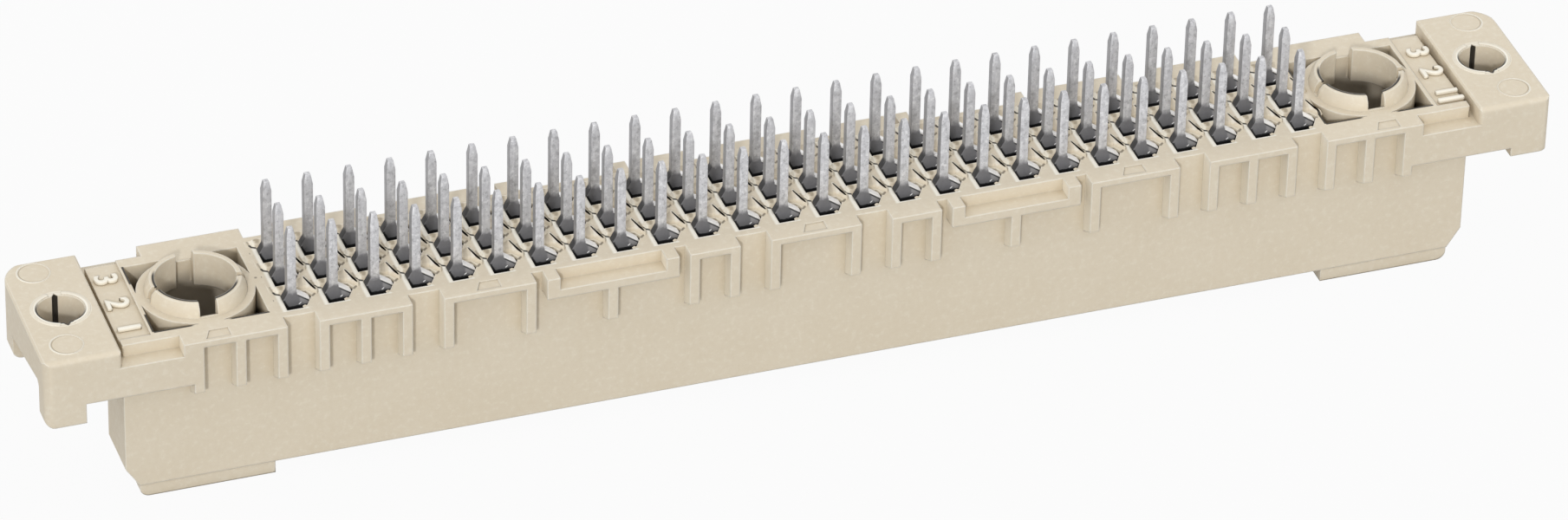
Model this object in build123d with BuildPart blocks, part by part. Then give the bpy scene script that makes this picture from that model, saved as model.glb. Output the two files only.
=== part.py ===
from build123d import *
import math
import os

# Female multi-pin connector with a cavity for a special contact at each end of its contact field.
# It lies on its mating face with the termination pins up. X runs along the rows and Y across them.
# The origin is the middle of the footprint, on the surface that the two mating lips stand on.

# Contact grid
pitch = 2.54
columns = 26
rows = 3
special_spacing_pitches = 29

# Housing across and along
row_to_face = 1.71
flange_stand = 1.05
special_to_body_end = 5.62
special_to_hole = 8.17
hole_to_end = 2.45
block_length = 4.7

# Housing heights
lip_height = 0.9
lip_length = 8.3
lip_inset = 0.1
lip_corner_radius = 0.6
body_height = 10.3
body_foot_run = 0.85
body_foot_rise = 1.3
bevel_run = 3.7
bevel_start = -0.45
block_rise = 0.3
flange_thickness = 2.95
ledge_drop = 0.83
edge_chamfer = 0.12

# Ribs, bands and trays on both long faces, placed in pitches from the middle
rib_places = (1, 2, 3, 5, 7, 9, 10, 11, 12, 13, 14, 15)
band_spans = ((-1, 1), (2, 3), (7, 9), (10, 12), (13, 15))
tray_place = 5
rib_width = 0.6
rib_drop = 4.15
rib_ramp = 0.55
band_thickness = 0.42
tray_length = 8.2
tray_wall = 0.8
tray_thickness = 0.58

# Gate marks on the front edge, placed in pitches from the middle
gate_mark_places = (-14.5, -8, 0, 8, 14.5)
gate_mark_length = 1.5
gate_mark_width = 0.8
gate_mark_depth = 0.08
gate_mark_inset = 0.25

# Mounting ends
front_corner_radius = 0.6
back_corner_radius = 2.0
inner_corner_radius = 0.25
top_edge_radius = 0.35
hole_diameter = 2.8
hole_notch_width = 0.35
hole_notch_depth = 0.25
foot_length = 2.5
left_foot_height = 1.35
right_foot_height = 0.6
foot_round = 0.6
channel_front = -4.0
channel_back = 2.2
channel_front_rise = 1.25
channel_back_rise = 0.3
channel_corner = 0.3
step_length = 0.6
panel_depth = 0.2
panel_front_rim = 0.6
panel_side_rim = 0.25

# Special cavities
well_length = 6.95
well_width = 6.9
well_depth = 2.4
land_radius = 3.53
collar_foot_radius = 3.05
collar_bend_radius = 2.93
collar_top_radius = 2.72
collar_rise = 0.9
collar_bend_rise = 0.6
throat_radius = 2.42
throat_depth = 1.4
barrel_radius = 2.9
key_slot_width = 1.08
relief_slot_width = 0.4
relief_slot_offset = -0.45
slot_floor_rise = 0.1

# Contact cavities, measured from the pin's axis
cavity_left = 0.54
cavity_front = 1.15
cavity_front_right = 0.6
cavity_right = 1.3
cavity_back_right = 1.05
cavity_back = 0.5
cavity_floor = 1.3
lead_in_width = 1.5
lead_in_throat = 0.8

# Contacts, measured from the pin's axis and from the contact field
pin_width = 0.56
pin_reach = 5.07
pin_tip_length = 0.65
pin_tip_width = 0.34
shoulder_left_top = 0.58
shoulder_left_end = 0.13
shoulder_right_top = 0.53
shoulder_right_end = -0.07
shoulder_right = 1.1
blade_length = 2.6
spring_outside = 0.5
spring_thickness = 0.22
spring_throat = 0.2
spring_nose = 0.7
spring_floor_gap = 0.5

# Places worked out from the sizes above
special_x = special_spacing_pitches * pitch / 2
body_half = special_x + special_to_body_end
hole_x = special_x + special_to_hole
end_x = hole_x + hole_to_end
block_x = end_x - block_length
rib_end_x = rib_places[-1] * pitch
step_x = rib_end_x + rib_width / 2 + step_length
row_places = [(row - (rows - 1) / 2) * pitch for row in range(rows)]
face_y = row_places[-1] + row_to_face
flange_y = face_y + flange_stand
mating_z = lip_height
field_z = mating_z + body_height
block_z = field_z + block_rise
flange_z = field_z - flange_thickness
ledge_z = field_z - ledge_drop
floor_z = mating_z + cavity_floor
collar_z = field_z + collar_rise
throat_z = field_z - throat_depth
sides = (-1, 1)
foot_shapes = ((-1, left_foot_height), (1, right_foot_height))

os.makedirs("parts", exist_ok=True)


def slab(x_ends, y_ends, z_ends, mode=Mode.ADD):
    """Add or cut a block between the ends given along each axis."""
    middle = [sum(ends) / 2 for ends in (x_ends, y_ends, z_ends)]
    length, width, height = (abs(ends[1] - ends[0]) for ends in (x_ends, y_ends, z_ends))
    with Locations(tuple(middle)):
        Box(length, width, height, mode=mode)


# Mounting blocks on their feet, each the common part of its three outlines
blocks = []
for side, foot_height in foot_shapes:
    foot_z = flange_z - foot_height
    block_middle = side * (end_x - block_length / 2)
    block_height = block_z - foot_z
    with BuildPart() as block:
        with BuildSketch(Plane.XY.offset(foot_z)) as block_plan:
            with Locations((block_middle, 0)):
                Rectangle(block_length, 2 * flange_y)
            for x_way, y_way, radius in (
                (side, -1, front_corner_radius), (side, 1, back_corner_radius),
                (-side, -1, inner_corner_radius), (-side, 1, inner_corner_radius),
            ):
                corner_way = Axis((0, 0, 0), (x_way, y_way, 0))
                fillet(block_plan.vertices().sort_by(corner_way)[-1], radius)
        extrude(amount=block_height)
        with BuildSketch(Plane.XZ) as block_front:
            with Locations((block_middle, foot_z + block_height / 2)):
                Rectangle(block_length, block_height)
            chamfer(block_front.vertices().group_by(Axis.Y)[-1], edge_chamfer)
            fillet(block_front.vertices().sort_by(Axis((0, 0, 0), (side, -1, 0)))[-1], foot_round)
        extrude(amount=flange_y, both=True, mode=Mode.INTERSECT)
        with BuildSketch(Plane.YZ.offset(block_middle)) as block_end:
            with Locations((0, foot_z + block_height / 2)):
                Rectangle(2 * flange_y, block_height)
            fillet(block_end.vertices().group_by(Axis.Y)[-1], top_edge_radius)
        extrude(amount=block_length / 2, both=True, mode=Mode.INTERSECT)
    blocks.append(block.part)

with BuildPart() as housing:
    # Body with its two mating lips, drawn as one long profile
    with BuildSketch(Plane.XZ) as body_profile:
        foot_x = body_half - body_foot_run
        lip_x = foot_x - lip_length
        Polygon(
            (body_half, field_z), (body_half, mating_z + body_foot_rise), (foot_x, mating_z), (foot_x, 0),
            (lip_x, 0), (lip_x, mating_z), (-lip_x, mating_z), (-lip_x, 0),
            (-foot_x, 0), (-foot_x, mating_z), (-body_half, mating_z + body_foot_rise), (-body_half, field_z),
            align=None,
        )
        lip_corners = body_profile.vertices().group_by(Axis.Y)[0].sort_by(Axis.X)
        fillet([lip_corners[0], lip_corners[-1]], lip_corner_radius)
    extrude(amount=face_y, both=True)
    for side in sides:
        slab((-body_half, body_half), (side * face_y, side * (face_y - lip_inset)), (0, mating_z), Mode.SUBTRACT)
        # Bevel of the back corner, which lets the body into its mate one way round only
        with BuildSketch():
            Polygon(
                (side * body_half, bevel_start), (side * body_half, face_y), (side * (body_half - bevel_run), face_y),
                align=None,
            )
        extrude(amount=flange_z, mode=Mode.SUBTRACT)

    # Mounting blocks with their bridges to the body, cut free below to leave a foot at each end
    add(blocks)
    for side, foot_height in foot_shapes:
        foot_z = flange_z - foot_height
        clear_x = (side * body_half, side * (end_x - foot_length))
        slab(clear_x, (-flange_y, flange_y), (foot_z, flange_z), Mode.SUBTRACT)
        with BuildSketch(Plane.YZ.offset(side * (body_half + end_x) / 2)):
            Polygon(
                (channel_front, foot_z), (channel_front, flange_z + channel_front_rise - channel_corner),
                (channel_front + channel_corner, flange_z + channel_front_rise),
                (channel_back, flange_z + channel_back_rise), (channel_back, foot_z), align=None,
            )
        extrude(amount=(end_x - body_half) / 2, both=True, mode=Mode.SUBTRACT)
        bridge_x = (side * rib_end_x, side * (block_x + inner_corner_radius))
        slab(bridge_x, (-flange_y, flange_y), (flange_z, ledge_z))
        slab((side * rib_end_x, side * step_x), (-flange_y, flange_y), (flange_z, field_z))

    # Ribs with ramped lower ends
    rib_z = field_z - rib_drop
    rib_starts = [side * place * pitch - rib_width / 2 for place in rib_places for side in sides]
    with BuildSketch(*[Plane.YZ.offset(start) for start in rib_starts]):
        Polygon(
            (-flange_y, field_z), (-flange_y, rib_z + rib_ramp), (-face_y, rib_z),
            (face_y, rib_z), (flange_y, rib_z + rib_ramp), (flange_y, field_z), align=None,
        )
    extrude(amount=rib_width)

    # Bands between ribs, flush with the contact field, and the open trays beside them
    band_z = (field_z - band_thickness, field_z)
    tray_z = (ledge_z - tray_thickness, field_z)
    tray_x = (tray_place * pitch - tray_length / 2, tray_place * pitch + tray_length / 2)
    for side in sides:
        for near, far in band_spans:
            band_x = (side * (near * pitch - rib_width / 2), side * (far * pitch + rib_width / 2))
            slab(band_x, (-flange_y, flange_y), band_z)
        slab((side * tray_x[0], side * tray_x[1]), (-flange_y, flange_y), tray_z)
        trough_x = (side * (tray_x[0] + tray_wall), side * (tray_x[1] - tray_wall))
        for front in sides:
            slab(trough_x, (front * face_y, front * flange_y), (ledge_z, field_z), Mode.SUBTRACT)

    # Shallow gate marks on the front edge and the sunk panels for the row marks
    with BuildSketch(Plane.XY.offset(field_z)):
        with Locations([(place * pitch, gate_mark_inset - flange_y) for place in gate_mark_places]):
            Polygon(
                (-gate_mark_length / 2, 0), (gate_mark_length / 2, 0),
                (gate_mark_length / 2, gate_mark_width), (-gate_mark_length / 4, gate_mark_width), align=None,
            )
    extrude(amount=-gate_mark_depth, mode=Mode.SUBTRACT)
    panel_x = special_x + well_length / 2 + panel_side_rim
    for side in sides:
        panel_y = (panel_front_rim - face_y, face_y)
        slab((side * panel_x, side * block_x), panel_y, (field_z - panel_depth, field_z), Mode.SUBTRACT)

    # Round land that leaves four corner pockets in the square well of each special cavity
    special_places = [(side * special_x, 0) for side in sides]
    with BuildSketch(Plane.XY.offset(field_z)):
        with Locations(special_places):
            Rectangle(well_length, well_width)
            Circle(land_radius, mode=Mode.SUBTRACT)
    extrude(amount=-well_depth, mode=Mode.SUBTRACT)

    # Collar of each special cavity, with a throat above the wider barrel
    for side in sides:
        with BuildSketch(Plane.XZ.move(Location((side * special_x, 0, 0)))):
            Polygon(
                (throat_radius, throat_z), (collar_foot_radius, throat_z), (collar_foot_radius, field_z),
                (collar_bend_radius, field_z + collar_bend_rise), (collar_top_radius, collar_z),
                (throat_radius, collar_z), align=None,
            )
        revolve(axis=Axis((side * special_x, 0, 0), (0, 0, 1)))
        with BuildSketch(Plane.XZ.move(Location((side * special_x, 0, 0)))):
            Polygon(
                (0, 0), (barrel_radius, 0), (barrel_radius, throat_z), (throat_radius, throat_z),
                (throat_radius, collar_z), (0, collar_z), align=None,
            )
        revolve(axis=Axis((side * special_x, 0, 0), (0, 0, 1)), mode=Mode.SUBTRACT)
        key_x = (side * special_x - key_slot_width / 2, side * special_x + key_slot_width / 2)
        slot_z = (field_z + slot_floor_rise, collar_z)
        collar_span = (-collar_foot_radius, collar_foot_radius)
        slab(key_x, (-barrel_radius, barrel_radius), (throat_z, collar_z), Mode.SUBTRACT)
        slab(key_x, collar_span, slot_z, Mode.SUBTRACT)
        relief_x = (side * special_x - collar_foot_radius, side * special_x + collar_foot_radius)
        relief_y = (relief_slot_offset - relief_slot_width / 2, relief_slot_offset + relief_slot_width / 2)
        slab(relief_x, relief_y, slot_z, Mode.SUBTRACT)

    # Mounting holes with two vee notches
    with BuildSketch(Plane.XY.offset(flange_z)):
        with Locations((-hole_x, 0), (hole_x, 0)):
            Circle(hole_diameter / 2)
            with PolarLocations(hole_diameter / 2, 2, start_angle=90):
                Polygon(
                    (-hole_notch_depth, -hole_notch_width), (hole_notch_depth, 0),
                    (-hole_notch_depth, hole_notch_width), align=None,
                )
    extrude(amount=block_z - flange_z, mode=Mode.SUBTRACT)

    # Contact cavities with a lead-in from the mating face
    with BuildSketch(Plane.XY.offset(floor_z)):
        with GridLocations(pitch, pitch, columns, rows):
            Polygon(
                (-cavity_left, -cavity_front), (cavity_front_right, -cavity_front), (cavity_right, 0),
                (cavity_back_right, cavity_back), (-cavity_left, cavity_back), align=None,
            )
    extrude(amount=field_z - floor_z, mode=Mode.SUBTRACT)
    with BuildSketch(Plane.XY.offset(mating_z)):
        with GridLocations(pitch, pitch, columns, rows):
            Rectangle(lead_in_width, lead_in_width)
    lead_in_angle = math.degrees(math.atan((lead_in_width - lead_in_throat) / 2 / cavity_floor))
    extrude(amount=cavity_floor, taper=lead_in_angle, mode=Mode.SUBTRACT)
housing.part.label = "housing"
export_step(housing.part, "parts/housing.step")

# Outline of one contact seen from the front, from the pin down to the fork of springs
tip_z = field_z + pin_reach
spring_z = floor_z + spring_floor_gap
half_pin = pin_width / 2
spring_inside = spring_outside - spring_thickness
contact_outline = [
    (half_pin, tip_z - pin_tip_length),
    (half_pin, field_z + shoulder_right_top),
    (shoulder_right, field_z + shoulder_right_end),
    (spring_outside, field_z - blade_length),
    (spring_outside, spring_z),
    (spring_throat / 2, spring_z + spring_nose),
    (spring_inside, spring_z + 2 * spring_nose),
    (0, field_z - blade_length),
    (-spring_inside, spring_z + 2 * spring_nose),
    (-spring_throat / 2, spring_z + spring_nose),
    (-cavity_left, spring_z),
    (-cavity_left, field_z + shoulder_left_end),
    (-half_pin, field_z + shoulder_left_top),
    (-half_pin, tip_z - pin_tip_length),
]
tip_angle = math.degrees(math.atan((pin_width - pin_tip_width) / 2 / pin_tip_length))

for number in range(1, columns + 1):
    column_x = (number - (columns + 1) / 2) * pitch
    with BuildPart() as contact_column:
        with BuildSketch(*[Plane.XZ.offset(-row_y) for row_y in row_places]):
            with Locations((column_x, 0)):
                Polygon(*contact_outline, align=None)
        extrude(amount=half_pin, both=True)
        with BuildSketch(Plane.XY.offset(tip_z - pin_tip_length)):
            with Locations([(column_x, row_y) for row_y in row_places]):
                Rectangle(pin_width, pin_width)
        extrude(amount=pin_tip_length, taper=tip_angle)
    contact_column.part.label = f"contact_column_{number:02d}"
    export_step(contact_column.part, f"parts/contact_column_{number:02d}.step")
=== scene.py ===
import math
import bpy
import bmesh
from mathutils import Matrix, Vector


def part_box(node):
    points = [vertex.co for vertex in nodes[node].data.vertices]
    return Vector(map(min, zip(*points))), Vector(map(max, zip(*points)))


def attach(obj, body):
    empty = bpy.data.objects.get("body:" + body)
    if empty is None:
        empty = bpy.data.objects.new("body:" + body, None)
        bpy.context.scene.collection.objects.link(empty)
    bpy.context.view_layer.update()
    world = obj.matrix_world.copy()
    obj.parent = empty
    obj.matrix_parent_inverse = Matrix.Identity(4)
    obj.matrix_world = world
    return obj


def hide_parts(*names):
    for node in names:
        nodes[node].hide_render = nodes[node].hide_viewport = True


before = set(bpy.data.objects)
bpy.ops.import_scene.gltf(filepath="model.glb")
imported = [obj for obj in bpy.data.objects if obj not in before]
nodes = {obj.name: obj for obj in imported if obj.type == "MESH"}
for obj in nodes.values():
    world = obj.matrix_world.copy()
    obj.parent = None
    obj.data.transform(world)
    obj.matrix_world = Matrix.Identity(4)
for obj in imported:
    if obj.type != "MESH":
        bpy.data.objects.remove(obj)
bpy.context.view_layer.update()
mm = 0.001
columnNames = sorted(name for name in nodes if name.startswith("contact_column"))

# Steps and places on the housing that its box and the contacts' boxes don't give
layout = dict(
    collarRise=0.9 * mm,
    blockRise=0.3 * mm,
    panelDrop=0.2 * mm,
    panelX=41.65 * mm,
    holeFromEnd=2.45 * mm,
    pinWidth=0.56 * mm,
    rows=3,
)
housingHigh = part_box("housing")[1]
firstLow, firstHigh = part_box(columnNames[0])
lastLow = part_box(columnNames[-1])[0]
pitch = (lastLow.x - firstLow.x) / (len(columnNames) - 1)
rowStep = (firstHigh.y - firstLow.y - layout["pinWidth"]) / (layout["rows"] - 1)
firstPinX = -pitch * (len(columnNames) - 1) / 2
fieldZ = housingHigh.z - layout["collarRise"]
blockZ = fieldZ + layout["blockRise"]
panelZ = fieldZ - layout["panelDrop"]
holeX = housingHigh.x - layout["holeFromEnd"]
pinPlaces = [
    (firstPinX + column * pitch, (row - 1) * rowStep)
    for column in range(len(columnNames)) for row in range(layout["rows"])
]
keyWay = Vector((0.83, 1.8, -1.0)).normalized()  # the way the key light falls
print("frame read,", len(nodes), "nodes")


class Wire:
    # A socket that can be used in sums; every other node comes from make()
    def __init__(self, tree, socket=None):
        self.tree = tree
        self.socket = socket

    def make(self, kind, settings=None, sockets=None, out=0):
        made = self.tree.nodes.new(kind)
        for name, value in (settings or {}).items():
            setattr(made, name, value)
        for key, value in (sockets or {}).items():
            if isinstance(value, Wire):
                self.tree.links.new(value.socket, made.inputs[key])
            else:
                made.inputs[key].default_value = value
        return Wire(self.tree, made.outputs[out])

    def maths(self, operation, *values):
        return self.make("ShaderNodeMath", {"operation": operation}, dict(enumerate(values)))

    def __add__(self, other):
        return self.maths("ADD", self, other)

    def __radd__(self, other):
        return self.maths("ADD", other, self)

    def __sub__(self, other):
        return self.maths("SUBTRACT", self, other)

    def __rsub__(self, other):
        return self.maths("SUBTRACT", other, self)

    def __mul__(self, other):
        return self.maths("MULTIPLY", self, other)

    def __rmul__(self, other):
        return self.maths("MULTIPLY", other, self)

    def __abs__(self):
        return self.maths("ABSOLUTE", self)

    # The larger of the two, for masks that lie over each other
    def __or__(self, other):
        return self.maths("MAXIMUM", self, other)

    def root(self):
        return self.maths("SQRT", self)

    # 0 at low and 1 at high, eased between
    def ease(self, low, high):
        sockets = {"Value": self, "From Min": low, "From Max": high}
        return self.make("ShaderNodeMapRange", {"interpolation_type": "SMOOTHSTEP"}, sockets)

    # 1 at low and 0 at high, eased between
    def fade(self, low, high):
        return 1 - self.ease(low, high)

    # The colour a where this is 0 and b where it is 1
    def blend(self, a, b):
        return self.make("ShaderNodeMix", {"data_type": "RGBA"}, {0: self, 6: a, 7: b}, out=2)


def newMaterial(name):
    material = bpy.data.materials.new(name)
    material.use_nodes = True
    material.node_tree.nodes.clear()
    wire = Wire(material.node_tree)
    output = material.node_tree.nodes.new("ShaderNodeOutputMaterial")
    return material, wire, output


# Place on the object in millimetres, and its three parts
def placeOn(wire):
    place = wire.make("ShaderNodeTexCoord", out=3)
    inMm = wire.make("ShaderNodeVectorMath", {"operation": "SCALE"}, {0: place, "Scale": 1 / mm})
    parts = [wire.make("ShaderNodeSeparateXYZ", {}, {0: inMm}, out=k) for k in range(3)]
    return inMm, parts


# Place within the square of one contact, measured from its pin and counted on from a corner
def placeInCell(wire, x, y, corner):
    step = pitch / mm
    return (
        wire.maths("WRAP", x - step / 2, corner[0] + step, corner[0]),
        wire.maths("WRAP", y, corner[1] + step, corner[1]),
    )


# How far a face looks along one axis: 0 for X, 1 for Y and 2 for Z
def lookAlong(wire, axis):
    normal = wire.make("ShaderNodeNewGeometry", out=1)
    return wire.make("ShaderNodeSeparateXYZ", {}, {0: normal}, out=axis)


def noise(wire, place, scale, detail=2.0, stretch=(1, 1, 1), roughness=0.5):
    spread = wire.make("ShaderNodeMapping", {}, {"Vector": place, "Scale": stretch})
    sockets = {"Vector": spread, "Scale": scale, "Detail": detail, "Roughness": roughness}
    return wire.make("ShaderNodeTexNoise", {}, sockets)


def length(u, v):
    return (u * u + v * v).root()


lineEdge = (0.3, 1.15)  # shares of its width between which a painted line fades


# 1 on the line along a path and 0 past its width
def nearLine(u, v, path, width):
    mask = None
    for start, end in zip(path, path[1:]):
        runU = end[0] - start[0]
        runV = end[1] - start[1]
        fromU = u - start[0]
        fromV = v - start[1]
        along = (fromU * runU + fromV * runV) * (1 / (runU**2 + runV**2))
        along = along.maths("MINIMUM", along.maths("MAXIMUM", along, 0), 1)
        distance = length(fromU - along * runU, fromV - along * runV)
        part = distance.fade(width * lineEdge[0], width * lineEdge[1])
        mask = mask | part if mask else part
    return mask


# The normal rounded over edges, how far it turns there, and how far it leans along the key light
def edgeTurn(wire, radius, samples=6):
    normal = wire.make("ShaderNodeNewGeometry", out=1)
    rounded = wire.make("ShaderNodeBevel", {"samples": samples}, {"Radius": radius})
    turned = wire.make("ShaderNodeVectorMath", {"operation": "SUBTRACT"}, {0: rounded, 1: normal})
    dot = {"operation": "DOT_PRODUCT"}
    likeness = wire.make("ShaderNodeVectorMath", dot, {0: normal, 1: rounded}, out=1)
    lean = wire.make("ShaderNodeVectorMath", dot, {0: turned, 1: keyWay}, out=1)
    return rounded, likeness.fade(0.86, 0.998), lean


plastic = dict(
    colour=(0.775, 0.69, 0.545, 1),
    pale=(0.88, 0.82, 0.69, 1),
    # bright is painted highlight; the darker colours after warm, all but speck, are painted shade
    bright=(1.0, 0.96, 0.85, 1),
    warm=(0.70, 0.60, 0.445, 1),
    shade=(0.36, 0.29, 0.19, 1),
    brownShade=(0.15, 0.12, 0.08, 1),
    speck=(0.16, 0.13, 0.10, 1),
    deepShade=(0.02, 0.017, 0.014, 1),
    boreShade=(0.26, 0.225, 0.18, 1),
    pocketShade=(0.17, 0.135, 0.09, 1),
    cloudScale=0.22,
    mottleScale=2.6,
    gritScale=7.5,
    speckScale=0.3,
    roughness=0.5,
    grain=0.2,
    grainDepth=0.02 * mm,
    edge=0.14 * mm,
    webEdge=0.03 * mm,
    cornerReach=0.7 * mm,
    deepShadeStrength=0.95,
)


# Slow clouds, fine mottling and grit of the moulding compound, and a few dark specks
def compound(wire, place):
    clouds = noise(wire, place, plastic["cloudScale"], 3).ease(0.35, 0.68)
    mottle = noise(wire, place, plastic["mottleScale"], 3, roughness=0.6)
    grit = noise(wire, place, plastic["gritScale"], 2)
    colour = (clouds * 0.22).blend(plastic["colour"], plastic["warm"])
    colour = (mottle.ease(0.5, 0.72) * 0.35).blend(colour, plastic["pale"])
    colour = (mottle.ease(0.5, 0.3) * 0.2).blend(colour, plastic["warm"])
    colour = (grit.ease(0.58, 0.8) * 0.35).blend(colour, plastic["warm"])
    sockets = {"Vector": place, "Scale": plastic["speckScale"], "Randomness": 1.0}
    specks = wire.make("ShaderNodeTexVoronoi", {"feature": "F1"}, sockets)
    sockets = {"Vector": place, "Scale": plastic["speckScale"] * 0.7, "Detail": 0.0}
    chosen = wire.make("ShaderNodeTexNoise", {}, sockets).ease(0.58, 0.62)
    colour = (specks.fade(0.02, 0.045) * chosen * 0.8).blend(colour, plastic["speck"])
    return colour, clouds, mottle, grit


# Flanks of the front ribs that face the left and get painted light, in millimetres
ribs = dict(x=(42.2, 42.3), y=(-4.2, -4.1), look=(-0.7, -0.4), light=0.6)


# Painted highlight on the edges, painted shade in the corners, most of all where they lean away from the
# light, and painted light on the rib flanks that face the left
def shadeCorners(wire, colour, edge, x, y, onTop):
    sockets = {"Distance": plastic["cornerReach"]}
    corner = wire.make("ShaderNodeAmbientOcclusion", {"samples": 6}, sockets, out=1)
    rounded, edges, lean = edgeTurn(wire, edge)
    # Painted light on the rib flanks that face the left
    ribSide = lookAlong(wire, 0).fade(*ribs["look"]) * abs(x).fade(*ribs["x"]) * y.fade(*ribs["y"])
    colour = (ribSide * ribs["light"]).blend(colour, plastic["bright"])
    # Painted shade in the corners, and darker painted shade in hollows that lean away from the light
    colour = (corner.fade(0.2, 1.0) * (1 - ribSide * 0.8) * 0.42).blend(colour, plastic["shade"])
    hollow = corner.fade(0.55, 0.92) * (1 - onTop)
    colour = (hollow * lean.ease(0.02, 0.2)).blend(colour, plastic["brownShade"])
    # Painted highlight on the edges
    colour = (edges * corner.ease(0.7, 0.95) * 0.9).blend(colour, plastic["bright"])
    return colour, rounded


# The field of the contacts, in millimetres; each pair is where a mask starts and where it ends
field = dict(
    x=(33.0, 33.2),
    y=(3.76, 3.84),
    top=(11.1, 11.14),
    # wellY to wellTop: where the walls of the contact openings get painted black shade
    wellY=(3.85, 3.95),
    wellFoot=(5.0, 8.0),
    wellTop=(10.85, 11.12),
    behindFront=(-3.3, -3.2),
    rightOfLeft=(-32.85, -32.78),
    cellCorner=(-1.02, -0.72),
)
# Painted highlights and shade around each contact: colour, strength, width in mm and the path, measured from
# its pin
rimHighlights = (
    ("bright", 1.0, 0.2, ((-0.66, 0.42), (-0.66, -0.9))),
    ("bright", 1.0, 0.2, ((-0.66, 1.95), (-0.66, 1.3), (0.62, 1.3))),
)
# Painted shadow of the pin on the lump, painted highlights on its crest and beside the tongue, painted shade
# in the tongue's hollow, and painted shade in the crevices at the opening's right corner and behind its left
# corner
cellLightAndShade = (
    ("shade", 0.4, 0.2, ((0.84, 0.86), (0.92, 1.3), (1.02, 1.7))),
    ("bright", 0.6, 0.2, ((1.3, 0.75), (1.42, 1.3), (1.32, 1.75))),
    ("bright", 0.7, 0.15, ((-0.66, 0.7), (-0.68, 1.06))),
    ("shade", 0.75, 0.16, ((-0.42, 1.08), (-0.3, 1.05), (-0.36, 0.84))),
    ("brownShade", 0.8, 0.1, ((1.3, -0.12), (1.4, -0.02), (1.47, 0.04))),
    ("brownShade", 0.5, 0.07, ((-0.86, 0.88), (-0.9, 1.42))),
    ("deepShade", 1.0, 0.1, ((-0.57, 0.5), (-0.78, 0.63), (-0.84, 0.8))),
)


# Painted highlights on the rims over the whole field, and painted highlights and shade behind the front row
def paintCells(wire, colour, x, y, onTop):
    u, v = placeInCell(wire, x, y, field["cellCorner"])
    behind = onTop * y.ease(*field["behindFront"]) * x.ease(*field["rightOfLeft"])
    for marks, area in ((rimHighlights, onTop), (cellLightAndShade, behind)):
        for name, strength, width, path in marks:
            colour = (nearLine(u, v, path, width) * area * strength).blend(colour, plastic[name])
    return colour


# Special cavities, in millimetres from their middle or up from the lips; pairs are mask limits
cavity = dict(
    x=36.83,
    throat=(2.44, 2.47),
    barrel=(2.92, 2.96),
    barrelTop=(9.78, 9.84),
    slot=(0.55, 0.58),
    boreFoot=(0.5, 5.0),
    boreTop=(9.6, 10.9),
    boreShadeStrength=0.85,
    pocketX=(3.5, 3.52),
    pocketY=(3.47, 3.5),
    collar=(2.99, 3.02),
    pocketFloor=(8.5, 8.7),
    pocketTop=(9.4, 11.2),
    pocketStrength=0.9,
    # rim and wall: painted shadow lines inside the near rim of the collar and along the pockets' near edges
    rim=2.5,
    rimWidth=(0.05, 0.09),
    rimTop=(11.9, 12.0),
    wallX=-3.53,
    wallY=-3.51,
    wallWidth=(0.05, 0.08),
    wallTop=(11.1, 11.15),
)


# Painted shade in the bores with their key slots and in the pockets, and painted shadow lines inside the
# near rims and along the pockets' near edges
def paintCavities(colour, x, y, z, side):
    across = x - side * cavity["x"]
    reach = length(across, y)
    slotOrBarrel = abs(across).fade(*cavity["slot"]) | z.fade(*cavity["barrelTop"])
    below = reach.fade(*cavity["barrel"]) * slotOrBarrel
    boreShade = (reach.fade(*cavity["throat"]) | below) * z.ease(*cavity["boreFoot"])
    boreShade = boreShade * z.fade(*cavity["boreTop"]) * cavity["boreShadeStrength"]
    colour = boreShade.blend(colour, plastic["boreShade"])
    pocketShade = abs(across).fade(*cavity["pocketX"]) * abs(y).fade(*cavity["pocketY"])
    pocketShade = pocketShade * reach.ease(*cavity["collar"])
    pocketShade = pocketShade * z.ease(*cavity["pocketFloor"]) * z.fade(*cavity["pocketTop"])
    colour = (pocketShade * cavity["pocketStrength"]).blend(colour, plastic["pocketShade"])
    towardsFront = (y + across * 0.5).fade(-0.4, 0.4)
    nearRim = abs(reach - cavity["rim"]).fade(*cavity["rimWidth"]) * towardsFront * z.ease(*cavity["rimTop"])
    leftWall = abs(across - cavity["wallX"]).fade(*cavity["wallWidth"])
    leftWall = leftWall * abs(y).ease(1.5, 1.7) * abs(y).fade(3.45, 3.5)
    frontWall = abs(y - cavity["wallY"]).fade(*cavity["wallWidth"])
    frontWall = frontWall * abs(across).ease(1.0, 1.3) * abs(across).fade(3.48, 3.54)
    return colour, nearRim | (leftWall | frontWall) * z.ease(*cavity["wallTop"])


# Marks that the mould left on the end blocks: rings of its ejector pins, and raised rims of the holes
rings = dict(
    radius=0.98 * mm,
    width=0.14 * mm,
    rise=0.035 * mm,
    steps=40,
    places=((45.6, 3.98), (45.6, -3.6)),
    smooth=40,
    # line: where the painted highlight on each ring fades; shadeInset and shadeLine: the painted shade line
    # just inside it
    line=(0.04, 0.09),
    shadeInset=0.09,
    shadeLine=(0.02, 0.06),
)
rims = dict(inside=1.44 * mm, outside=1.80 * mm, slope=0.06 * mm, rise=0.05 * mm, gap=15.0, steps=30)
# Mounting holes, in millimetres from their middle or up from the lips; pairs are mask limits
hole = dict(
    boreShade=(1.42, 1.44),
    depth=(9.0, 11.5),
    boreShadeStrength=0.75,
    top=(11.42, 11.48),
    notchX=(0.16, 0.2),
    notchY=1.6,
    notchLength=(0.2, 0.22),
    notchTop=(11.4, 11.46),
    frontNotch=((-0.18, -1.46), (0.0, -1.69), (0.18, -1.46)),
    # innerLine, outerLine and plateau: painted highlights on the hole rims; nearLine and the notches:
    # painted shadow lines
    innerLine=1.54,
    outerLine=1.78,
    plateau=1.65,
    nearLine=1.45,
)


# Painted shade inside the mounting holes, painted highlights on their rims and on the ejector rings, painted
# shade inside the rings, and painted shadow lines at the near hole rims and notches
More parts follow.
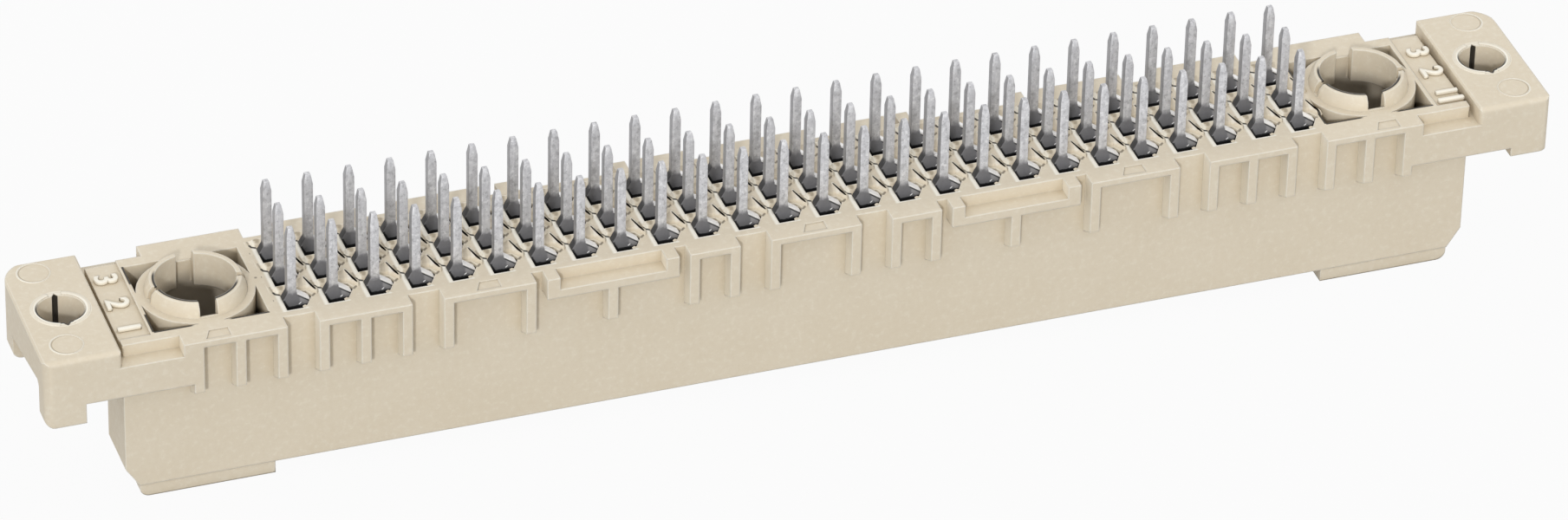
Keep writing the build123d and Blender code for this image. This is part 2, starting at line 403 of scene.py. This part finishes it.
def paintBlocks(colour, x, y, z, side):
    outX = x - side * (holeX / mm)
    around = length(outX, y)
    onBlock = z.ease(*hole["top"])
    # Painted shade inside the holes
    inside = around.fade(*hole["boreShade"]) * z.fade(*hole["depth"])
    colour = (inside * hole["boreShadeStrength"]).blend(colour, plastic["boreShade"])
    # Painted highlights around the hole rims
    innerLine = abs(around - hole["innerLine"]).fade(0.04, 0.09) * (1 - y.ease(0.0, 2.2) * 0.6)
    outerLine = abs(around - hole["outerLine"]).fade(0.02, 0.06) * 0.5
    plateau = abs(around - hole["plateau"]).fade(0.13, 0.17) * 0.3
    colour = ((innerLine | outerLine | plateau) * onBlock).blend(colour, plastic["bright"])
    for ringX, ringY in rings["places"]:
        outward = abs(x) - ringX
        fromRing = length(outward, y - ringY)
        # Painted highlight on each ejector ring, stronger on its outward side, and painted shade just inside
        # it
        lit = outward.ease(-0.9, 0.9) * 0.6 + 0.4
        ringLine = abs(fromRing - rings["radius"] / mm).fade(*rings["line"])
        colour = (ringLine * onBlock * lit * 0.8).blend(colour, plastic["bright"])
        ringShade = abs(fromRing - (rings["radius"] / mm - rings["shadeInset"])).fade(*rings["shadeLine"])
        colour = (ringShade * onBlock * lit * lit * 0.6).blend(colour, plastic["shade"])
    backNotch = abs(outX).fade(*hole["notchX"]) * abs(y - hole["notchY"]).fade(*hole["notchLength"])
    nearHole = abs(around - hole["nearLine"]).fade(0.05, 0.08) * (y + outX * 0.5).fade(-0.7, 0.7)
    frontNotch = nearLine(outX, y, hole["frontNotch"], 0.09)
    return colour, (nearHole | frontNotch) * onBlock | backNotch * z.fade(*hole["notchTop"])


# Figures on the sunk panels between cavities and blocks, in millimetres; pairs are mask limits
panel = dict(halfX=(1.05, 1.09), middleY=0.275, halfY=(3.9, 3.92), foot=(11.04, 11.12), top=(11.35, 11.4))


def mouldedPlastic(name, edge):
    material, wire, output = newMaterial(name)
    place, (x, y, z) = placeOn(wire)
    side = wire.maths("SIGN", x)
    colour, clouds, mottle, grit = compound(wire, place)
    onPanel = abs(abs(x) - layout["panelX"] / mm).fade(*panel["halfX"])
    onPanel = onPanel * abs(y - panel["middleY"]).fade(*panel["halfY"])
    figures = onPanel * z.ease(*panel["foot"]) * z.fade(*panel["top"])
    # Painted highlight on the raised figures
    colour = (figures * 0.9).blend(colour, plastic["bright"])
    onTop = abs(x).fade(*field["x"]) * abs(y).fade(*field["y"]) * z.ease(*field["top"])
    colour, rounded = shadeCorners(wire, colour, edge, x, y, onTop)
    colour = paintCells(wire, colour, x, y, onTop)
    colour, cavityShadowLines = paintCavities(colour, x, y, z, side)
    colour, holeShadowLines = paintBlocks(colour, x, y, z, side)
    # Painted shade: black down the walls of the contact openings, and the painted shadow lines of the
    # cavities, holes and notches
    wells = abs(x).fade(*field["x"]) * abs(y).fade(*field["wellY"])
    wells = wells * z.ease(*field["wellFoot"]) * z.fade(*field["wellTop"])
    dark = (cavityShadowLines | holeShadowLines | wells) * plastic["deepShadeStrength"]
    colour = dark.blend(colour, plastic["deepShade"])
    # A satin skin with fine grain
    roughness = plastic["roughness"] + (grit - 0.5) * 0.2 + clouds * 0.05
    relief = grit * 0.6 + mottle * 0.4
    sockets = {"Strength": plastic["grain"], "Distance": plastic["grainDepth"], "Height": relief}
    bump = wire.make("ShaderNodeBump", {}, {**sockets, "Normal": rounded})
    sockets = {"Base Color": colour, "Roughness": roughness, "Normal": bump}
    shader = wire.make("ShaderNodeBsdfPrincipled", {}, {**sockets, "IOR": 1.5, "Specular IOR Level": 0.35})
    material.node_tree.links.new(shader.socket, output.inputs["Surface"])
    return material


tin = dict(
    colour=(0.60, 0.60, 0.62, 1),
    bright=(0.86, 0.86, 0.87, 1),
    white=(1.0, 1.0, 1.0, 1),
    dull=(0.36, 0.36, 0.37, 1),
    blade=(0.145, 0.143, 0.15, 1),
    facet=(0.36, 0.35, 0.35, 1),
    black=(0.012, 0.012, 0.013, 1),
    side=(0.22, 0.22, 0.23, 1),
    metallic=0.55,
    roughness=0.45,
    grain=0.5,
    grainDepth=0.03 * mm,
    edge=0.04 * mm,
    round=0.05 * mm,
)
# The blade below the pin, in millimetres from the pin's middle and up from the lips; pairs are mask limits
blade = dict(
    top=(11.62, 12.1),
    shoulderU=0.28,
    shoulderZ=11.73,
    shoulderSlope=-0.73,
    right=(0.3, 0.42),
    # speck: a small painted highlight on the blade
    speck=((0.44, 10.9), (0.53, 10.97)),
    cellCorner=(-1.27, -1.27),
)


# Drawn streaks up the pin, blotches of the plating and dark pits
def plating(wire, place):
    streaks = noise(wire, place, 5.0, 3, (1, 1, 0.15)).ease(0.4, 0.7)
    blotches = noise(wire, place, 3.6, 4, (1, 1, 0.8), 0.65)
    pits = noise(wire, place, 8.0, 2).ease(0.6, 0.72)
    colour = (streaks * 0.35).blend(tin["colour"], tin["bright"])
    colour = (blotches.ease(0.52, 0.66) * 0.65).blend(colour, tin["bright"])
    colour = (blotches.ease(0.48, 0.34) * 0.6).blend(colour, tin["dull"])
    colour = (pits * 0.6).blend(colour, tin["dull"])
    return colour, streaks, blotches, pits


# The blade is dark below the shoulders, black as painted shadow where it drops into its opening and beside
# its walls, with painted shade on its left flanks, black in a band under the shoulder's top, and a painted
# highlight on that top and one speck
def paintBlade(wire, colour, place, parts, blotches):
    x, y, z = parts
    u = placeInCell(wire, x, y, blade["cellCorner"])[0]
    leftward = lookAlong(wire, 0)
    foot = z + (noise(wire, place, 3.0, 2) - 0.5) * 0.5
    dark = foot.fade(*blade["top"])
    colour = (dark * 0.94).blend(colour, tin["blade"])
    under = (u - blade["shoulderU"]) * blade["shoulderSlope"] + blade["shoulderZ"] - z
    right = u.ease(*blade["right"])
    facet = right * under.ease(0.2, 0.24) * under.fade(0.48, 0.56) * u.fade(0.95, 1.0) * u.ease(0.4, 0.55)
    colour = (facet * 0.8).blend(colour, tin["facet"])
    drop = fieldZ / mm - z
    # Painted shadow: black where the blade drops into its opening and beside the opening's walls; painted
    # shade on the left flanks
    sunk = (drop + (blotches - 0.5) * 0.2).ease(0.36, 0.42)
    leftWallShadow = (u + 0.54 - drop.maths("MAXIMUM", drop, 0) * 0.52).fade(0.1, 0.17) * drop.ease(-0.15, -0.05)
    rightWallShadow = (u + drop * 0.32 - 1.05).ease(0.0, 0.06) * drop.ease(-0.1, 0.0)
    flank = leftward.fade(-0.6, -0.3) * dark * 0.8
    belowStrip = right * under.ease(0.1, 0.13) * under.fade(0.17, 0.22)
    colour = (sunk | leftWallShadow | rightWallShadow | flank | belowStrip * 0.9).blend(colour, tin["black"])
    # Painted highlight: white metal on the upward top of the shoulder and on the small speck
    strip = lookAlong(wire, 2).ease(0.35, 0.6) | under.fade(0.09, 0.12)
    strip = strip * u.ease(0.28, 0.34) * z.fade(11.7, 11.76)
    shine = strip | nearLine(u, z, blade["speck"], 0.05)
    return shine.blend(colour, tin["white"]), dark, strip


def dullTin():
    material, wire, output = newMaterial("dullTin")
    place, parts = placeOn(wire)
    colour, streaks, blotches, pits = plating(wire, place)
    # The left flanks lie away from the light
    colour = (lookAlong(wire, 0).fade(-0.8, -0.4) * 0.6).blend(colour, tin["side"])
    colour, dark, strip = paintBlade(wire, colour, place, parts, blotches)
    rounded, edges = edgeTurn(wire, tin["edge"])[:2]
    # Painted highlight along the pin edges above the dark blade
    colour = (edges * (1 - dark) * 0.35).blend(colour, tin["bright"])
    relief = blotches * 0.5 + pits * 0.3 + streaks * 0.2
    roughness = tin["roughness"] + blotches * 0.14 + dark * 0.1
    metallic = (1 - dark) * tin["metallic"] | strip
    sockets = {"Strength": tin["grain"], "Distance": tin["grainDepth"], "Height": relief, "Normal": rounded}
    bump = wire.make("ShaderNodeBump", {}, sockets)
    sockets = {"Base Color": colour, "Metallic": metallic, "Roughness": roughness, "Normal": bump}
    shader = wire.make("ShaderNodeBsdfPrincipled", {}, sockets)
    material.node_tree.links.new(shader.socket, output.inputs["Surface"])
    return material


plasticSkin = mouldedPlastic("mouldedPlastic", plastic["edge"])
webSkin = mouldedPlastic("mouldedWebs", plastic["webEdge"])
tinSkin = dullTin()
print("materials made")


# How meshes are merged, and the angles in degrees up to which they are flattened or smoothed
finish = dict(merge=0.0005 * mm, nodeMerge=0.001 * mm, flat=0.5, nodeSmooth=30)


# A finished mesh becomes a piece of the object
def addPiece(name, mesh, material):
    mesh.materials.clear()
    mesh.materials.append(material)
    piece = bpy.data.objects.new(name, mesh)
    bpy.context.scene.collection.objects.link(piece)
    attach(piece, "root")
    return piece


def smoothBy(mesh, angle):
    for face in mesh.polygons:
        face.use_smooth = True
    mesh.set_sharp_from_angle(angle=math.radians(angle))


# A new bmesh that becomes a piece, with its faces turned outwards
def finishShape(shape, name, material, smooth):
    bmesh.ops.remove_doubles(shape, verts=shape.verts, dist=finish["merge"])
    bmesh.ops.recalc_face_normals(shape, faces=shape.faces)
    mesh = bpy.data.meshes.new(name)
    shape.to_mesh(mesh)
    shape.free()
    smoothBy(mesh, smooth)
    return addPiece(name, mesh, material)


def roundEdges(shape, edges, radius, segments):
    bmesh.ops.bevel(
        shape, geom=edges, offset=radius, offset_type="OFFSET", affect="EDGES", segments=segments,
        profile=0.5, material=-1, clamp_overlap=True,
    )


# A merged copy of a CAD node with its chosen edges rounded, standing for the node
def easedCopy(node, name, material, radius, chosen):
    mesh = nodes[node].data.copy()
    loose = mesh.attributes.get("custom_normal")
    if loose:
        mesh.attributes.remove(loose)
    shape = bmesh.new()
    shape.from_mesh(mesh)
    bmesh.ops.remove_doubles(shape, verts=shape.verts, dist=finish["nodeMerge"])
    flat = math.radians(finish["flat"])
    bmesh.ops.dissolve_limit(shape, angle_limit=flat, verts=shape.verts, edges=shape.edges)
    roundEdges(shape, [edge for edge in shape.edges if chosen(edge)], radius, 2)
    bmesh.ops.triangulate(shape, faces=[face for face in shape.faces if len(face.verts) > 4])
    shape.to_mesh(mesh)
    shape.free()
    smoothBy(mesh, finish["nodeSmooth"])
    piece = addPiece(name, mesh, material)
    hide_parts(node)
    return piece


shell = dict(
    openingRound=0.12 * mm,
    fieldX=33.2 * mm,
    fieldY=3.9 * mm,
    level=0.002 * mm,
    rimTurn=1.0,
    pinTurn=0.5,
)


# Rims of the contact openings, which are softly rounded
def isOpeningRim(edge):
    places = [vert.co for vert in edge.verts]
    level = all(abs(place.z - fieldZ) < shell["level"] for place in places)
    inside = all(abs(place.x) < shell["fieldX"] and abs(place.y) < shell["fieldY"] for place in places)
    return level and inside and len(edge.link_faces) == 2 and edge.calc_face_angle() > shell["rimTurn"]


# Long edges of the pins above the field
def isPinEdge(edge):
    above = max(vert.co.z for vert in edge.verts) > fieldZ
    return above and len(edge.link_faces) == 2 and edge.calc_face_angle() > shell["pinTurn"]


easedCopy("housing", "housingShell", plasticSkin, shell["openingRound"], isOpeningRim)
for name in columnNames:
    easedCopy(name, name.replace("contact_column", "contacts"), tinSkin, tin["round"], isPinEdge)
print("housing and contacts dressed")

# Outlines in millimetres from the pin; steps are how far the outline shrinks and how far it rises
webs = dict(
    lump=(
        (0.34, 0.72), (1.06, 0.70), (1.38, 0.30), (1.60, -0.02), (1.78, 0.16), (1.80, 0.48), (1.63, 0.74),
        (1.57, 1.10), (1.46, 1.60), (1.32, 1.92), (1.10, 1.84), (0.72, 1.28), (0.34, 1.26),
    ),
    tongue=(
        (-0.50, 0.62), (0.30, 0.62), (0.30, 1.28), (-0.58, 1.28), (-0.72, 1.18), (-0.70, 0.82),
        (-0.62, 0.68),
    ),
    nib=((0.46, -1.20), (0.46, -0.90), (0.62, -0.80), (0.78, -0.90), (0.66, -1.20)),
    sink=0.02 * mm,
    nibSink=0.05 * mm,
    steps=((0.05, 0.12), (0.06, 0.06), (0.15, 0.02)),
    nibSteps=((0.04, 0.0),),
    smooth=30,
)


# One rounded lump of plastic over an outline in the square of a contact
def raiseOver(shape, pin, outline, steps, foot):
    verts = [shape.verts.new((pin[0] + u * mm, pin[1] + v * mm, foot)) for u, v in outline]
    face = shape.faces.new(verts)
    face.normal_update()
    for inset, rise in steps:
        bmesh.ops.inset_individual(shape, faces=[face], thickness=inset * mm, depth=rise * mm)


# Webs between the openings: a lump right of each contact but those of the back row, a tongue behind it
# and a nib in its front corner
def fieldWebs():
    shape = bmesh.new()
    for pin in pinPlaces:
        if pin[1] < rowStep / 2:
            raiseOver(shape, pin, webs["lump"], webs["steps"], fieldZ - webs["sink"])
        raiseOver(shape, pin, webs["tongue"], webs["steps"][:2], fieldZ - webs["sink"])
        raiseOver(shape, pin, webs["nib"], webs["nibSteps"], fieldZ - webs["nibSink"])
    return finishShape(shape, "fieldWebs", webSkin, webs["smooth"])


fieldWebs()
print("webs raised between the openings")

numerals = dict(
    size=1.95 * mm,
    rise=0.25 * mm,
    sink=0.02 * mm,
    round=0.045 * mm,
    turn=-90,
    digits=("1", "2", "3"),
    steps={-1: 2.58 * mm, 1: 2.28 * mm},
    smooth=40,
)
bar = dict(size=(1.7 * mm, 0.33 * mm, 0.3 * mm), x=41.68 * mm, y=-3.14 * mm, round=0.08 * mm)


# A raised digit as a mesh, lying around the origin
def digitMesh(digit):
    curve = bpy.data.curves.new("numeral", "FONT")
    curve.body = digit
    curve.size = numerals["size"]
    curve.align_x = "CENTER"
    curve.align_y = "CENTER"
    curve.extrude = (numerals["rise"] + numerals["sink"]) / 2 - numerals["round"]
    curve.bevel_depth = numerals["round"]
    curve.bevel_resolution = 2
    curve.resolution_u = 5
    text = bpy.data.objects.new("numeral", curve)
    bpy.context.scene.collection.objects.link(text)
    bpy.context.view_layer.update()
    mesh = bpy.data.meshes.new_from_object(text)
    bpy.data.objects.remove(text)
    return mesh


# Raised row numerals on both sunk panels, front row first, and a plain bar before the right ones
def rowNumerals():
    shape = bmesh.new()
    turn = Matrix.Rotation(math.radians(numerals["turn"]), 4, "Z")
    height = panelZ + (numerals["rise"] - numerals["sink"]) / 2
    for side in (-1, 1):
        for row, digit in enumerate(numerals["digits"]):
            mesh = digitMesh(digit)
            place = (side * layout["panelX"], (row - 1) * numerals["steps"][side], height)
            mesh.transform(Matrix.Translation(place) @ turn)
            shape.from_mesh(mesh)
    place = Matrix.Translation((bar["x"], bar["y"], panelZ + bar["size"][2] / 2 - numerals["sink"]))
    made = bmesh.ops.create_cube(shape, size=1.0, matrix=place @ Matrix.Diagonal((*bar["size"], 1)))
    edges = list({edge for vert in made["verts"] for edge in vert.link_edges})
    roundEdges(shape, edges, bar["round"], 3)
    return finishShape(shape, "rowNumerals", plasticSkin, numerals["smooth"])


rowNumerals()


# Turns a closed profile of radii and heights through an angle about an upright axis
def turnProfile(shape, centre, profile, startAngle, angle, steps):
    turn = Matrix.Rotation(startAngle, 3, "Z")
    verts = [shape.verts.new(centre + turn @ Vector((radius, 0, up))) for radius, up in profile]
    edges = [shape.edges.new(pair) for pair in zip(verts, verts[1:] + verts[:1])]
    whole = abs(angle - math.tau) < 0.001
    bmesh.ops.spin(
        shape, geom=verts + edges, cent=centre, axis=(0, 0, 1), angle=angle, steps=steps, use_merge=whole
    )


# Faint rings that the ejector pins left, and the raised rim of each mounting hole, open at its two notches
def blockRings():
    shape = bmesh.new()
    half = rings["width"] / 2
    ringProfile = [
        (rings["radius"] - half, -rings["rise"]), (rings["radius"] - half / 3, rings["rise"]),
        (rings["radius"] + half / 3, rings["rise"]), (rings["radius"] + half, -rings["rise"]),
    ]
    rimProfile = [
        (rims["inside"], -rims["rise"]), (rims["inside"] + rims["slope"] / 2, rims["rise"]),
        (rims["outside"] - rims["slope"], rims["rise"]), (rims["outside"], -rims["rise"]),
    ]
    gap = math.radians(rims["gap"])
    for side in (-1, 1):
        for placeX, placeY in rings["places"]:
            centre = Vector((side * placeX * mm, placeY * mm, blockZ))
            turnProfile(shape, centre, ringProfile, 0, math.tau, rings["steps"])
        centre = Vector((side * holeX, 0, blockZ))
        for startAngle in (-math.pi / 2, math.pi / 2):
            turnProfile(shape, centre, rimProfile, startAngle + gap, math.pi - 2 * gap, rims["steps"])
    bmesh.ops.holes_fill(shape, edges=[edge for edge in shape.edges if edge.is_boundary], sides=0)
    return finishShape(shape, "blockRings", plasticSkin, rings["smooth"])


blockRings()
print("numerals and rings made")

studio = dict(
    camera=(-143.986, -402.793, 303.358),
    turn=(55.158, -1.129, -18.865),
    lens=198.34,
    ambient=0.78,
    keyStrength=1.12,
    keySpread=5,
    floorSize=3,
    floorDrop=0.02 * mm,
    floor=(0.36, 0.36, 0.36, 1),
    whiteness=0.95,
)


# 1 for rays from the camera and for those that metal, gloss and glass show
def shownRays(wire):
    camera, glossy, transmission = [wire.make("ShaderNodeLightPath", out=k) for k in (0, 3, 6)]
    return camera | glossy | transmission


def setLights():
    world = bpy.data.worlds.new("studio")
    bpy.context.scene.world = world
    world.use_nodes = True
    world.node_tree.nodes.clear()
    wire = Wire(world.node_tree)
    strength = studio["ambient"] + shownRays(wire) * (1 - studio["ambient"])
    sky = wire.make("ShaderNodeBackground", {}, {"Color": (1, 1, 1, 1), "Strength": strength})
    output = world.node_tree.nodes.new("ShaderNodeOutputWorld")
    world.node_tree.links.new(sky.socket, output.inputs["Surface"])
    light = bpy.data.lights.new("keyLamp", "SUN")
    light.energy = studio["keyStrength"]
    light.angle = math.radians(studio["keySpread"])
    lamp = bpy.data.objects.new("keyLamp", light)
    lamp.rotation_euler = keyWay.to_track_quat("-Z", "Y").to_euler()
    bpy.context.scene.collection.objects.link(lamp)


def setFloor():
    bpy.ops.mesh.primitive_plane_add(size=studio["floorSize"], location=(0, 0, -studio["floorDrop"]))
    floor = bpy.context.object
    floor.name = "floor"
    material, wire, output = newMaterial("floorPaper")
    paper = wire.make("ShaderNodeBsdfDiffuse", {}, {"Color": studio["floor"]})
    white = wire.make("ShaderNodeEmission", {}, {"Color": (1, 1, 1, 1), "Strength": 1.0})
    shown = shownRays(wire) * studio["whiteness"]
    mixed = wire.make("ShaderNodeMixShader", {}, {0: shown, 1: paper, 2: white})
    material.node_tree.links.new(mixed.socket, output.inputs["Surface"])
    floor.data.materials.append(material)


def setCamera():
    camera = bpy.data.cameras.new("photoCamera")
    camera.lens = studio["lens"]
    camera.sensor_width = 36
    camera.clip_start = 0.01
    camera.clip_end = 10
    eye = bpy.data.objects.new("photoCamera", camera)
    eye.location = Vector(studio["camera"]) * mm
    eye.rotation_euler = [math.radians(angle) for angle in studio["turn"]]
    bpy.context.scene.collection.objects.link(eye)
    bpy.context.scene.camera = eye
    bpy.context.scene.view_settings.view_transform = "Standard"


setLights()
setFloor()
setCamera()
print("studio set")
